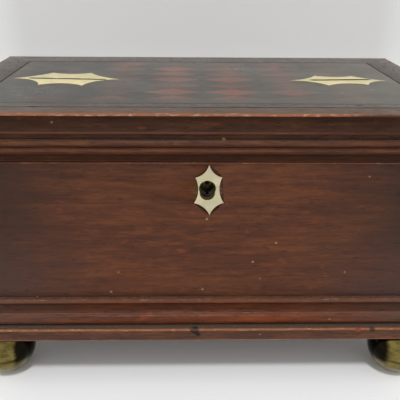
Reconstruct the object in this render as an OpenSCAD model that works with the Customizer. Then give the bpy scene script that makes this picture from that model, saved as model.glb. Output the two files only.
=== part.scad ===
// Regency mahogany caddy box fitted out as a two-slot money box.
// Millimetres. X runs to the right, Y to the back, Z up. The origin is on the ground, under the middle.
// Each sub-part is one module, and every node stands where it sits in the closed, unlocked box.

/* [Box] */
// Overall width, over the edge of the lid and the plinth
box_w = 210; // [190:1:230]
// Overall depth, from the front edge of the lid to the back face
box_d = 121; // [110:1:140]
// How far the lid's edge and the plinth stand out from the carcase
overhang = 5.6; // [5.2:0.1:7]
// Thickness of the carcase and lid rim boards
board_t = 9.5; // [9:0.5:11]
// Plain height of the front between the base moulding and the lid
front_h = 61.2; // [50:0.1:90]
// Open joint between the lid and the carcase
joint_gap = 0.3; // [0.2:0.05:0.5]

/* [Base and feet] */
// Thickness of the plinth board
plinth_t = 6; // [5:0.5:8]
// Height of the moulding above the plinth
base_mould_h = 13; // [13:0.5:16]
// Chamfer along the carcase's top outer arris
top_arris = 0.6; // [0.3:0.1:1]
// Thickness of the inner bottom
bottom_t = 5; // [4:0.5:7]
// Diameter of the brass ball feet
foot_d = 26; // [24:1:28]
// Height of a foot below the plinth
foot_h = 24.4; // [22:0.1:25.4]
// Distance of a foot's centre from the side of the plinth
foot_inset_x = 14.5; // [13.5:0.5:20]
// Distance of a foot's centre from the front or back of the plinth
foot_inset_y = 13; // [13:0.5:20]
// Radius of the wood-screw stud that holds a foot
stud_r = 2; // [1.5:0.1:2.5]
// Length of that stud above the plinth's underside
stud_l = 9; // [7:0.5:10]
// How far the front left foot was set in from its place, to the right and to the back
foot_slip = [0.9, 1.8];

/* [Lid] */
// Height of the lid
lid_h = 20; // [20:0.1:24]
// Thickness of the mitred border and of the panel that it frames
border_t = 7.6; // [7.3:0.1:8]
// Width of the border seen from above
border_w = 16; // [15:0.5:20]
// Width of the panel's tongue under the border
tongue_w = 4; // [3:0.5:5]
// Thickness of the veneers
veneer_t = 1; // [0.8:0.1:1.2]
// Columns of lozenges across the panel
lozenge_columns = 7; // [5:2:11]
// Rows of lozenges from front to back
lozenge_rows = 7; // [5:2:11]

/* [Bone plates] */
// Thickness of the bone plates
bone_t = 1.15; // [1.1:0.05:1.5]
// Distance of the slot plates from the middle of the lid, left and right
plate_x = [61.4, 62.7];
// Distance of the slot plates behind the lid's middle line
plate_y = [0.1, -1.5];
// Small turn of the slot plates in the lid, left and right
plate_turn = [-1.65, 0.2];
// Length of the slot plates, tip to tip, left and right
plate_len = [47.9, 43.8];
// Cusps of each plate about its middle: back left, back right, front right, front left
plate_cusps = [
    [[-9.4, 13.7], [8.7, 13.9], [9.7, -14.3], [-9.6, -13.7]],
    [[-8.7, 11.2], [8.8, 10.9], [11.6, -8.8], [-6.6, -10.3]]
];
// Depth of each hollow side against its length, clockwise from the left tip
plate_hollow = [[0.06, 0.16, 0.08, 0.17, 0.22, 0.18], [0.11, 0.16, 0.06, 0.17, 0.2, 0.14]];
// Length of the slots, left and right
slot_len = [33.1, 26.6];
// Middle of each slot about the middle of its plate, and its turn in the plate
slot_at = [[0.4, -0.1], [1.4, 1.6]];
slot_turn = [-2.4, 3.4];
// Width of the slots
slot_w = 1.8; // [1.6:0.1:2.4]
// Height of the escutcheon
escutcheon_h = 21.6; // [20:0.1:24]
// How far the escutcheon was let in to the right of the keyhole
escutcheon_off = 0.6; // [0:0.1:0.8]
// Radius of the round part of the keyhole
keyhole_r = 3.2; // [2.8:0.1:3.3]
// Depth of the keyhole below the centre of the round part
keyhole_drop = 4.8; // [4.4:0.1:5]
// Radius of its worn foot
keyhole_foot_r = 2.9; // [2.3:0.1:3]

/* [Lock] */
// Distance of the lock to the right of the middle
lock_x = 1.4; // [0:0.1:3]
// Distance of the key's centre below the lid joint
key_drop = 11.2; // [11:0.1:12]
// Throw of the bolt
bolt_throw = 4; // [3:0.5:4]
// Distance of each hook from the middle of the lock
hook_x = 9; // [8:0.5:10]

/* [Hinges] */
// Distance of the hinges from the middle of the box
hinge_x = 62; // [40:1:68]
// Length of a hinge
hinge_l = 32; // [28:1:40]
// Radius of the knuckles
knuckle_r = 2; // [1.9:0.1:2.2]
// Distance of the hinge line in from the back face
hinge_in = 1.2; // [1:0.1:1.4]
// Radius of the hinge pins
hinge_pin_r = 0.95; // [0.8:0.05:1]
// Bevel of the back edges, which meet when the lid is open
stop_bevel = 52; // [50:1:60]

/* [Hidden] */
$fn = 48;
SIDES = ["front", "back", "left", "right"];
FEET = ["foot_front_left", "foot_front_right", "foot_back_left", "foot_back_right"];
HANDS = ["left", "right"];
far = 400;      // longer than anything here
eps = 0.01;     // overshoot of a cutter
fit = 0.05;     // ease of a pin or screw in its hole

// Plan of the box: the hinges' knuckles stand out behind, so the box sits a little forward.
front_y = -(box_d + knuckle_r - hinge_in) / 2;
back_y = front_y + box_d;
half_w = box_w / 2;
body_x = half_w - overhang;         // outer faces of the side boards
body_y = front_y + overhang;        // outer face of the front board
in_x = body_x - board_t;            // inner faces
in_front = body_y + board_t;
in_back = back_y - board_t;
mid_y = (front_y + back_y) / 2;

// Levels
plinth_z = foot_h;
carcase_z = plinth_z + plinth_t;
floor_z = carcase_z + bottom_t;
joint_z = carcase_z + base_mould_h + front_h;
rim_z = joint_z + joint_gap / 2;            // underside of the lid
carcase_top = joint_z - joint_gap / 2;      // top of the carcase
lid_z = joint_z + lid_h;
panel_z = lid_z - border_t;                 // underside of the border and the panel

// Panel in the lid
field_x = half_w - border_w;
field_y = box_d / 2 - border_w;
lozenge_w = 2 * field_x / lozenge_columns;
lozenge_d = 2 * field_y / lozenge_rows;
tongue_t = 3.3;

// Inside the carcase
partition_t = 5;
groove = 2;
foil_t = 0.6;
escutcheon_in = 0.8;                        // depth of its bed
escutcheon_z = joint_z - key_drop - 1;      // height of its middle
drill_pin_r = 0.9;

// Hinge
axis_y = back_y - hinge_in;
knuckles = 5;
knuckle_l = hinge_l / knuckles;
knuckle_gap = 0.15;
knuckle_clear = 0.3;
leaf_t = 1.2;
leaf_w = board_t - hinge_in - 0.4;
screw_r = 0.8;
screw_head_r = 1.45;
screw_head_h = 0.9;
screw_l = 6;
leaf_screw_y = (leaf_w + knuckle_r) / 2;
leaf_screw_pitch = 11;

// Lock, counted from the inner face of the front board forwards and from the lid joint down
lock_plate_w = 54;
lock_plate_h = 24;
lock_plate_t = 1.2;
lock_depth = 7;
case_w = 42;
case_h = 23;
case_t = 0.8;
case_hole_r = 2.6;      // the case's own keyhole is unworn
case_way_w = 1.2;
case_way_drop = 3.6;
lock_mid = 3.7;         // middle of the hooks and the bolt, behind the inner face
lock_screw_x = 23.5;
lock_screw_z = [6, 19];
hook_t = 2;
hook_w = 3.8;
hook_drop = 6.6;
hook_eye_r = 1.3;
hook_eye_drop = 4.2;
lug_r = 1;
lug_l = 4.5;
lug_clear = 0.5;
post_t = 2;
bolt_t = 2.6;
bolt_low = 9.4;
bolt_high = 7.4;
bolt_left = -17;
bolt_right = 12;
link_w = 36;
link_d = 6;
link_t = 1.2;
link_screw_x = 14.5;

// ---------------------------------------------------------------- helpers

// A box between two corners.
module block(low, high) {
    translate(low) cube(high - low);
}

// The part of a plan that belongs to one side of a mitred frame, k wide.
function mitre(side, x, y0, y1, k) =
    side == "front" ? [[-x, y0], [x, y0], [x - k, y0 + k], [-x + k, y0 + k]] :
    side == "back" ? [[-x, y1], [x, y1], [x - k, y1 - k], [-x + k, y1 - k]] :
    side == "left" ? [[-x, y0], [-x + k, y0 + k], [-x + k, y1 - k], [-x, y1]] :
    [[x, y0], [x - k, y0 + k], [x - k, y1 - k], [x, y1]];

// The same for a moulding that has no run along the back.
function three_side_mitre(side, x, y0, y1, k) =
    side == "front" ? mitre(side, x, y0, y1, k) :
    side == "left" ? [[-x, y0], [-x + k, y0 + k], [-x + k, y1], [-x, y1]] :
    [[x, y0], [x - k, y0 + k], [x - k, y1], [x, y1]];

// A board of a mitred frame from z0 to z1.
module mitred_board(side, z0, z1) {
    translate([0, 0, z0]) linear_extrude(z1 - z0)
        polygon(mitre(side, body_x, body_y, back_y, board_t));
}

// Runs a section round the front and both sides. The section's x is the distance out from the
// carcase and its y is the height, and it reaches inwards past the far side of the box.
module moulded() {
    intersection() {
        translate([0, body_y, 0]) rotate([90, 0, -90]) linear_extrude(far, center = true) children();
        translate([body_x, 0, 0]) rotate([90, 0, 0]) linear_extrude(far, center = true) children();
        translate([-body_x, 0, 0]) rotate([90, 0, 180]) linear_extrude(far, center = true) children();
    }
}

// A stretch of a section from one height to another, out to a given distance.
module step(z0, z1, out) {
    translate([-far, z0]) square([far + out, z1 - z0]);
}

// Points joined by hollow arcs, like the outline of an old bone inlay. The points run clockwise, and
// hollows gives the depth of each arc against its chord.
module hollow_star(points, hollows) {
    n = len(points);
    difference() {
        polygon(points);
        for (i = [0:n - 1]) {
            a = points[i];
            b = points[(i + 1) % n];
            chord = norm(b - a);
            sag = hollows[i] * chord;
            r = chord * chord / (8 * sag) + sag / 2;
            out = [a[1] - b[1], b[0] - a[0]] / chord;
            translate((a + b) / 2 + out * (r - sag)) circle(r, $fn = 96);
        }
    }
}

// A slot with round ends.
module slot_outline(length, width) {
    square([length - width, width], center = true);
    for (end = [-1, 1]) translate([end * (length - width) / 2, 0]) circle(width / 2);
}

// A countersunk wood screw that stands head up at the origin and points down.
module screw() {
    difference() {
        union() {
            translate([0, 0, -screw_head_h])
                cylinder(screw_head_h, screw_r, screw_head_r);
            translate([0, 0, -screw_l]) cylinder(screw_l, r = screw_r);
        }
        translate([-far / 2, -0.2, -0.4]) cube([far, 0.4, 1]);
    }
}

// The hole for that screw.
module screw_hole() {
    translate([0, 0, -screw_head_h]) cylinder(screw_head_h + eps, screw_r + fit, screw_head_r + fit);
    translate([0, 0, -screw_l - 0.2]) cylinder(screw_l + 0.2, r = screw_r + fit);
}

// ---------------------------------------------------------------- places

// Plan place of a foot: 0 and 1 in front, 2 and 3 at the back, left before right.
function foot_at(i) = [
    (i % 2 == 0 ? -1 : 1) * (half_w - foot_inset_x) + (i == 0 ? foot_slip[0] : 0),
    (i < 2 ? front_y + foot_inset_y : back_y - foot_inset_y) + (i == 0 ? foot_slip[1] : 0)
];

module at_feet() {
    for (i = [0:3]) translate([foot_at(i)[0], foot_at(i)[1], plinth_z]) children();
}

module at_plate(i) {
    translate([(i == 0 ? -1 : 1) * plate_x[i], mid_y + plate_y[i], 0]) rotate(plate_turn[i]) children();
}

module at_lock_screws() {
    for (sx = [-1, 1], drop = lock_screw_z)
        translate([lock_x + sx * lock_screw_x, in_front, joint_z - drop]) rotate([-90, 0, 0]) children();
}

module at_link_screws() {
    for (sx = [-1, 1])
        translate([lock_x + sx * link_screw_x, in_front - lock_mid, rim_z]) mirror([0, 0, 1]) children();
}

module at_hinges() {
    for (sx = [-1, 1]) translate([sx * hinge_x, axis_y, joint_z]) children();
}

// Three screws along a leaf, in the leaf's own frame.
module along_leaf() {
    for (k = [-1:1]) translate([k * leaf_screw_pitch, -leaf_screw_y, 0]) children();
}

// ---------------------------------------------------------------- cutters

// Room for a hinge: the leaf's bed, the round of the knuckles and the screws. side is -1 below, 1 above.
module hinge_bed(side) {
    bed = joint_gap / 2 + leaf_t;
    mirror([0, 0, side > 0 ? 0 : 1]) {
        block([-hinge_l / 2 - fit, -leaf_w - fit, 0], [hinge_l / 2 + fit, 0, bed]);
        rotate([0, 90, 0]) cylinder(hinge_l + 2 * knuckle_gap, r = knuckle_r + knuckle_clear, center = true);
        along_leaf() translate([0, 0, joint_gap / 2]) mirror([0, 0, 1]) screw_hole();
    }
}

// The bevel along a back edge, down from the hinge line for the carcase and up from it for the lid.
module back_bevel(side) {
    reach = 3;
    translate([-far / 2, axis_y, joint_z]) rotate([90, 0, 90]) linear_extrude(far)
        polygon([[0, -side], [0, 0], [reach, side * reach * tan(stop_bevel)], [reach, -side]]);
}

// Room for the lock in the front board.
module lock_bed() {
    block([lock_x - lock_plate_w / 2, in_front - lock_plate_t, joint_z - lock_plate_h],
          [lock_x + lock_plate_w / 2, in_front + eps, joint_z]);
    block([lock_x - lock_plate_w / 2, in_front - lock_depth, carcase_top - lock_plate_t],
          [lock_x + lock_plate_w / 2, in_front + eps, joint_z]);
    block([lock_x - case_w / 2, in_front - lock_depth, joint_z - case_h],
          [lock_x + case_w / 2, in_front + eps, joint_z]);
    at_lock_screws() screw_hole();
}

// The keyhole, cut from front to back: a round for the key's pipe, worn down into a second round.
module keyhole(ease) {
    translate([lock_x, body_y - 1, joint_z - key_drop]) rotate([-90, 0, 0]) {
        cylinder(board_t - 1, r = keyhole_r + ease);
        translate([0, keyhole_drop - keyhole_foot_r, 0]) cylinder(board_t - 1, r = keyhole_foot_r + ease);
    }
}

// Outline of the escutcheon, standing up, about its own centre. Its upper tip is blunt.
module escutcheon_outline() {
    tip = escutcheon_h / 2;
    intersection() {
        hollow_star([[0, tip + 0.7], [5.2, 5.7], [6, -5.2], [0.4, -tip], [-5.9, -5.3], [-5.4, 5.6]],
                    [0.16, 0.13, 0.14, 0.14, 0.13, 0.16]);
        translate([-far / 2, -tip - 1]) square([far, 2 * tip + 1]);
    }
}

// Outline of a slot plate about its own centre.
module plate_outline(i) {
    tip = plate_len[i] / 2;
    c = plate_cusps[i];
    hollow_star([[-tip, 0], c[0], c[1], [tip, 0], c[2], c[3]], plate_hollow[i]);
}

// Both coin slots, right through the lid.
module slots() {
    for (i = [0, 1]) at_plate(i) translate([slot_at[i][0], slot_at[i][1], panel_z - 2])
        rotate(slot_turn[i]) linear_extrude(border_t + 4) slot_outline(slot_len[i], slot_w);
}

// ---------------------------------------------------------------- base

module base_board() {
    color("#56413a") difference() {
        block([-half_w, front_y, plinth_z], [half_w, back_y, carcase_z]);
        at_feet() cylinder(stud_l, r = stud_r + fit);
    }
}

module bottom_board() {
    color("#7a5a3c") difference() {
        block([-in_x, in_front, carcase_z], [in_x, in_back, floor_z]);
        at_feet() cylinder(stud_l, r = stud_r + fit);
    }
}

// Section of the base moulding: a quirk, a bead, a hollow and a square top.
module base_section() {
    top = carcase_z + base_mould_h;
    bead_z = carcase_z + 3.1;
    out = 2.3;
    step(carcase_z, bead_z, 1.6);
    translate([0.8, bead_z]) circle(2.7, $fn = 96);
    difference() {
        step(bead_z, top, out);
        translate([out + 1.3, bead_z + 5.65]) circle(2.8, $fn = 96);
    }
}

module base_moulding(side) {
    color("#60402f") difference() {
        intersection() {
            moulded() base_section();
            translate([0, 0, carcase_z]) linear_extrude(base_mould_h)
                polygon(three_side_mitre(side, half_w, front_y, back_y, overhang + board_t / 2));
        }
        block([-body_x, body_y, 0], [body_x, back_y + 1, far]);
    }
}

// A ball of polished brass, cut flat under the plinth, with a small flat to stand on and a stud.
module foot() {
    ball_r = foot_d / 2;
    flat_r = 2.8;
    centre_z = sqrt(ball_r * ball_r - flat_r * flat_r) - foot_h;
    color("#8a7a45") {
        intersection() {
            translate([0, 0, centre_z]) sphere(ball_r, $fn = 96);
            translate([0, 0, -foot_h]) cylinder(foot_h, r = foot_d);
        }
        translate([0, 0, -1]) cylinder(stud_l, r = stud_r);
    }
}

// ---------------------------------------------------------------- carcase

// Section of the carcase: upright, with its top arris taken off.
module carcase_section() {
    polygon([[-far, carcase_z], [0, carcase_z], [0, carcase_top - top_arris],
             [-top_arris, carcase_top], [-far, carcase_top]]);
}

module carcase_board(side) {
    color("#60402f") difference() {
        intersection() {
            mitred_board(side, carcase_z, carcase_top);
            moulded() carcase_section();
        }
        at_feet() cylinder(stud_l, r = stud_r + fit);
        if (side == "front") {
            lock_bed();
            keyhole(0);
            escutcheon_bed();
            partition_groove(in_front, joint_z - lock_plate_h - 2);
        }
        if (side == "back") {
            at_hinges() hinge_bed(-1);
            partition_groove(in_back, far);
        }
        back_bevel(-1);
    }
}

module partition_groove(y, top) {
    block([-partition_t / 2, y - groove, floor_z], [partition_t / 2, y + groove, top]);
}

module partition() {
    top = carcase_top - 2;
    color("#6b4a33") {
        block([-partition_t / 2, in_front, floor_z], [partition_t / 2, in_back + groove, top]);
        block([-partition_t / 2, in_front - groove, floor_z],
              [partition_t / 2, in_front + 1, joint_z - lock_plate_h - 2]);
    }
}

// Foil lining of one compartment, cut away round the lock.
module lining(hand) {
    side = hand == "left" ? -1 : 1;
    low = side < 0 ? -in_x : partition_t / 2;
    high = side < 0 ? -partition_t / 2 : in_x;
    color("#8d8f8c") difference() {
        block([low, in_front, floor_z], [high, in_back, carcase_top - 2]);
        block([low + foil_t, in_front + foil_t, floor_z + foil_t], [high - foil_t, in_back - foil_t, far]);
        block([lock_x - lock_plate_w / 2 - 1, in_front - 1, joint_z - lock_plate_h - 1],
              [lock_x + lock_plate_w / 2 + 1, in_front + 1, far]);
    }
}

module escutcheon_bed() {
    translate([lock_x + escutcheon_off, body_y + escutcheon_in, escutcheon_z]) rotate([90, 0, 0])
        linear_extrude(escutcheon_in + 1) escutcheon_outline();
}

module escutcheon() {
    color("#d8cfa6") difference() {
        translate([lock_x + escutcheon_off, body_y + escutcheon_in, escutcheon_z]) rotate([90, 0, 0])
            linear_extrude(bone_t) escutcheon_outline();
        keyhole(fit);
    }
}

// ---------------------------------------------------------------- lock

// The back plate of the lock with its top flange, which has two slots for the hooks.
module lock_plate() {
    color("#a08c4e") difference() {
        union() {
            block([lock_x - lock_plate_w / 2, in_front - lock_plate_t, joint_z - lock_plate_h],
                  [lock_x + lock_plate_w / 2, in_front, carcase_top]);
            block([lock_x - lock_plate_w / 2, in_front - lock_depth, carcase_top - lock_plate_t],
                  [lock_x + lock_plate_w / 2, in_front, carcase_top]);
        }
        for (sx = [-1, 1]) translate([lock_x + sx * hook_x, in_front - lock_mid, carcase_top])
            cube([hook_t + 0.8, hook_w + 1.4, 3 * lock_plate_t], center = true);
        at_lock_screws() screw_hole();
        translate([lock_x, in_front, joint_z - key_drop]) rotate([90, 0, 0])
            cylinder(3 * lock_plate_t, r = drill_pin_r + fit, center = true);
    }
}

// The cover that closes the lock towards the keyhole, open at the top and at the back.
module lock_case() {
    color("#a08c4e") difference() {
        block([lock_x - case_w / 2, in_front - lock_depth, joint_z - case_h],
              [lock_x + case_w / 2, in_front - lock_plate_t, carcase_top - lock_plate_t]);
        block([lock_x - case_w / 2 + case_t, in_front - lock_depth + case_t, joint_z - case_h + case_t],
              [lock_x + case_w / 2 - case_t, in_front, joint_z]);
        translate([lock_x, in_front - lock_depth - 1, joint_z - key_drop]) rotate([-90, 0, 0]) {
            cylinder(lock_depth - 1, r = case_hole_r);
            translate([-case_way_w / 2, 0, 0]) cube([case_way_w, case_way_drop, lock_depth - 1]);
        }
    }
}

module lock_drill_pin() {
    color("#7d7a70") translate([lock_x, in_front, joint_z - key_drop]) rotate([90, 0, 0])
        cylinder(lock_depth - 0.4, r = drill_pin_r);
}

// A flat steel spring under the left end of the bolt, bent up to it at its free end.
module lock_spring() {
    x0 = lock_x - case_w / 2 + case_t;
    color("#77777c") translate([0, in_front - lock_mid + 1, joint_z - bolt_low]) rotate([90, 0, 0])
        linear_extrude(2) polygon([
            [x0, -1.6], [x0 + 5, -1.6], [x0 + 12, -0.2], [x0 + 13, -0.5],
            [x0 + 13, -0.9], [x0 + 12, -0.6], [x0 + 5, -2], [x0, -2]
        ]);
}

module lock_screws() {
    color("#8f7f49") at_lock_screws() screw();
}

// The sliding bar with its two lugs, in the unlocked place. It locks as it slides to the right.
module lock_bolt() {
    color("#9c8a52") translate([lock_x, in_front - lock_mid, joint_z]) difference() {
        union() {
            block([bolt_left, -bolt_t / 2, -bolt_low], [bolt_right, bolt_t / 2, -bolt_high]);
            for (hook = [-hook_x, hook_x]) {
                tip = hook - hook_t / 2 - lug_clear;
                block([tip - lug_l - post_t, -lug_r, -bolt_high - eps],
                      [tip - lug_l, lug_r, -hook_eye_drop + lug_r]);
                translate([tip - lug_l - eps, 0, -hook_eye_drop]) rotate([0, 90, 0])
                    cylinder(lug_l + eps, r = lug_r);
            }
        }
        // the talon that the key's bit works in
        block([-bolt_throw / 2 - 2, -bolt_t, -bolt_low - 1], [-bolt_throw / 2 + 2, bolt_t, -bolt_low + 0.9]);
    }
}

// ---------------------------------------------------------------- lid

// Section of the lid's edge: a square arris, a hollow and a lip.
module edge_section() {
    difference() {
        step(panel_z, lid_z, overhang);
        translate([overhang + 2.2, lid_z - 3.75]) circle(3.8, $fn = 96);
    }
}

module lid_border(side) {
    rebate = field_x + tongue_w;
    color("#6f645c") difference() {
        intersection() {
            moulded() edge_section();
            translate([0, 0, panel_z]) linear_extrude(border_t)
                polygon(mitre(side, half_w, front_y, back_y, border_w));
        }
        block([-rebate, mid_y - field_y - tongue_w, panel_z - 1],
              [rebate, mid_y + field_y + tongue_w, panel_z + tongue_t]);
    }
}

// The panel under the veneers, with a tongue all round that lies on the rim.
module lid_panel() {
    color("#5c4433") difference() {
        union() {
            block([-field_x, mid_y - field_y, panel_z], [field_x, mid_y + field_y, lid_z - veneer_t]);
            block([-field_x - tongue_w, mid_y - field_y - tongue_w, panel_z],
                  [field_x + tongue_w, mid_y + field_y + tongue_w, panel_z + tongue_t]);
        }
        slots();
    }
}

// One lozenge of veneer, a hair smaller than its place.
module lozenge() {
    w = lozenge_w / 2 - 0.05;
    d = lozenge_d / 2 - 0.03;
    polygon([[-w, 0], [0, d], [w, 0], [0, -d]]);
}

// Lozenges in columns and rows, cut off at the border and round the bone plates.
module lozenges(shift) {
    half_columns = ceil(lozenge_columns / 2);
    half_rows = ceil(lozenge_rows / 2);
    translate([0, 0, lid_z - veneer_t]) linear_extrude(veneer_t) difference() {
        intersection() {
            for (i = [-half_columns:half_columns], j = [-half_rows:half_rows])
                translate([(i + 0.5 + shift) * lozenge_w, mid_y + (j + shift) * lozenge_d]) lozenge();
            translate([-field_x, mid_y - field_y]) square([2 * field_x, 2 * field_y]);
        }
        for (i = [0, 1]) at_plate(i) plate_outline(i);
    }
}

module parquetry_red_lozenges() {
    color("#87695c") lozenges(0);
}

module parquetry_dark_lozenges() {
    color("#64615a") lozenges(0.5);
}

module slot_plate(i) {
    color("#d8cfa6") difference() {
        at_plate(i) translate([0, 0, lid_z - veneer_t]) linear_extrude(bone_t) plate_outline(i);
        slots();
    }
}

// Section of the beads round the rim: a quirk, a large bead, a small bead and a hollow.
module bead_section() {
    step(lid_z - 13.7, panel_z, 3.4);
    translate([3.4, lid_z - 11.9]) circle(1.9, $fn = 64);
    step(lid_z - 15.6, lid_z - 13.7, 2.8);
    translate([2.8, lid_z - 14.65]) circle(1.1, $fn = 64);
    difference() {
        step(rim_z, lid_z - 15.5, 2.8);
        translate([4.2, rim_z]) circle(3.8, $fn = 96);
    }
}

module lid_bead(side) {
    color("#5a3c31") difference() {
        intersection() {
            moulded() bead_section();
            translate([0, 0, rim_z]) linear_extrude(panel_z - rim_z)
                polygon(three_side_mitre(side, half_w, front_y, back_y, overhang + board_t / 2));
        }
        block([-body_x, body_y, 0], [body_x, back_y + 1, far]);
    }
}

module lid_rim(side) {
    color("#60402f") difference() {
        mitred_board(side, rim_z, panel_z);
        if (side == "front") {
            block([lock_x - link_w / 2, in_front - lock_mid - link_d / 2, rim_z - 1],
                  [lock_x + link_w / 2, in_front - lock_mid + link_d / 2, rim_z + link_t]);
            at_link_screws() screw_hole();
        }
        if (side == "back") at_hinges() hinge_bed(1);
        back_bevel(1);
    }
}

// Paper under the panel.
module lid_lining() {
    color("#8a8676") difference() {
        block([-in_x, in_front, panel_z - 0.5], [in_x, in_back, panel_z]);
        slots();
    }
}

// The plate in the lid's underside with the two hooks that the bolt's lugs go through.
module link_plate() {
    color("#a08c4e") translate([lock_x, in_front - lock_mid, 0]) difference() {
        union() {
            block([-link_w / 2, -link_d / 2, rim_z], [link_w / 2, link_d / 2, rim_z + link_t]);
            for (hook = [-hook_x, hook_x])
                block([hook - hook_t / 2, -hook_w / 2, joint_z - hook_drop],
                      [hook + hook_t / 2, hook_w / 2, rim_z + eps]);
        }
        translate([0, 0, joint_z - hook_eye_drop]) rotate([0, 90, 0])
            cylinder(link_w, r = hook_eye_r, center = true);
        translate([-lock_x, -in_front + lock_mid, 0]) at_link_screws() screw_hole();
    }
}

module link_plate_screws() {
    color("#8f7f49") at_link_screws() screw();
}

// ---------------------------------------------------------------- hinges

// A leaf with its knuckles, about the hinge line. The carcase has the odd knuckles (side -1).
module leaf(side) {
    first = side < 0 ? 0 : 1;
    color("#a08c4e") difference() {
        union() {
            mirror([0, 0, side > 0 ? 0 : 1]) {
                block([-hinge_l / 2, -leaf_w, joint_gap / 2],
                      [hinge_l / 2, -knuckle_r - knuckle_clear, joint_gap / 2 + leaf_t]);
                for (k = [first:2:knuckles - 1])
                    block([-hinge_l / 2 + k * knuckle_l + knuckle_gap / 2, -leaf_w, joint_gap / 2],
                          [-hinge_l / 2 + (k + 1) * knuckle_l - knuckle_gap / 2, 0, joint_gap / 2 + leaf_t]);
            }
            for (k = [first:2:knuckles - 1])
                translate([-hinge_l / 2 + k * knuckle_l + knuckle_gap / 2, 0, 0]) rotate([0, 90, 0])
                    cylinder(knuckle_l - knuckle_gap, r = knuckle_r);
        }
        rotate([0, 90, 0]) cylinder(hinge_l + 2, r = hinge_pin_r + fit, center = true);
        mirror([0, 0, side > 0 ? 0 : 1]) along_leaf()
            translate([0, 0, joint_gap / 2]) mirror([0, 0, 1]) screw_hole();
    }
}

module hinge_pin() {
    color("#8f7f49") rotate([0, 90, 0]) cylinder(hinge_l, r = hinge_pin_r, center = true);
}

module hinge_screws(side) {
    color("#8f7f49") at_hinges() mirror([0, 0, side > 0 ? 0 : 1]) along_leaf()
        translate([0, 0, joint_gap / 2]) mirror([0, 0, 1]) screw();
}

module at_hinge(hand) {
    translate([(hand == "left" ? -1 : 1) * hinge_x, axis_y, joint_z]) children();
}

// ---------------------------------------------------------------- nodes

base_board();
bottom_board();
partition();
for (side = SIDES)
    carcase_board(side);
for (side = ["front", "left", "right"]) {
    base_moulding(side);
    lid_bead(side);
}
for (i = [0:3])
    translate([foot_at(i)[0], foot_at(i)[1], plinth_z]) foot();
for (hand = HANDS) {
    lining(hand);
    at_hinge(hand) leaf(-1);
    at_hinge(hand) leaf(1);
    at_hinge(hand) hinge_pin();
    slot_plate(hand == "left" ? 0 : 1);
}
escutcheon();
lock_plate();
lock_case();
lock_drill_pin();
lock_spring();
lock_screws();
lock_bolt();
hinge_screws(-1);  // hinge_carcase_screws
for (side = SIDES) {
    lid_border(side);
    lid_rim(side);
}
lid_panel();
parquetry_red_lozenges();
parquetry_dark_lozenges();
lid_lining();
link_plate();
link_plate_screws();
hinge_screws(1);  // hinge_lid_screws
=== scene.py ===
import math
import random

import bmesh
import bpy
from mathutils import Matrix, Vector, noise


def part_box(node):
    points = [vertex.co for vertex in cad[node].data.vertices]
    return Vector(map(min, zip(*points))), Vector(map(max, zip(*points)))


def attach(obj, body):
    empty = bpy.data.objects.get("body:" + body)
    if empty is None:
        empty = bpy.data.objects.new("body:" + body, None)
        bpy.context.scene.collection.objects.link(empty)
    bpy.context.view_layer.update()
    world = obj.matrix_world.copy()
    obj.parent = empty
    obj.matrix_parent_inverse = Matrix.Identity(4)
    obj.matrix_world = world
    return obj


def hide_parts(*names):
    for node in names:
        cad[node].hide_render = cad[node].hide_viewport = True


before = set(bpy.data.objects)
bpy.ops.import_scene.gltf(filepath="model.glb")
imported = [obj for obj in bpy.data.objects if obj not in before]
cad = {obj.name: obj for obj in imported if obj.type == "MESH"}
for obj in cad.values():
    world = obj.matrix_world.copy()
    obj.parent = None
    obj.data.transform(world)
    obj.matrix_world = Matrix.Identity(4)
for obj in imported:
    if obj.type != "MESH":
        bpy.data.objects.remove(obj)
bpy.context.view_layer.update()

scene = bpy.context.scene

# ---- Camera: stands about 200 mm in front of the box, a little above the lid, and looks down at it.
# The lens keeps the front's sides nearly upright, and its edges run just out of the frame.
stand = Vector((-0.0064, -0.2576, 0.1775))
turn, dip, lean = math.radians(1.40), math.radians(-23.76), math.radians(0.55)
ahead = Vector((math.sin(turn) * math.cos(dip), math.cos(turn) * math.cos(dip), math.sin(dip)))
flat_right = Vector((math.cos(turn), -math.sin(turn), 0))
flat_up = flat_right.cross(ahead)
right = math.cos(lean) * flat_right + math.sin(lean) * flat_up
up = -math.sin(lean) * flat_right + math.cos(lean) * flat_up
lens = bpy.data.cameras.new("camera")
lens.sensor_width, lens.lens, lens.clip_start = 36, 50.4, 0.01
camera = bpy.data.objects.new("camera", lens)
camera.matrix_world = Matrix.Translation(stand) @ Matrix((right, up, -ahead)).transposed().to_4x4()
scene.collection.objects.link(camera)
scene.camera = camera
scene.view_settings.view_transform = "Standard"

# ---- Studio: a pale sweep of board in a white light tent, painted paler at the sides than behind the box.
# One lamp above and in front gives the plain shadow under the plinth; the tent fills the rest.
soft = {"interpolation_type": "SMOOTHSTEP"}


def colour(code):
    """An sRGB hex value as linear RGBA."""
    part = [int(code[i:i + 2], 16) / 255 for i in (0, 2, 4)]
    return [c / 12.92 if c <= 0.04045 else ((c + 0.055) / 1.055) ** 2.4 for c in part] + [1]


def end_of(value):
    """The output in use of a node, or the socket or value itself."""
    return next(s for s in value.outputs if s.enabled) if isinstance(value, bpy.types.Node) else value


def node(tree, kind, inputs=(), **settings):
    """Adds one node: its settings by name, then its inputs, in the order of those in use or by their names.
    An input is a value, a hex colour, or a node or socket to link."""
    made = tree.nodes.new(kind)
    for key, value in settings.items():
        setattr(made, key, value)
    if not isinstance(inputs, dict):
        inputs = dict(zip([i for i, s in enumerate(made.inputs) if s.enabled], inputs))
    for key, value in inputs.items():
        value = end_of(value)
        if isinstance(value, bpy.types.NodeSocket):
            tree.links.new(value, made.inputs[key])
        else:
            made.inputs[key].default_value = colour(value) if isinstance(value, str) else value
    return made


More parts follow.
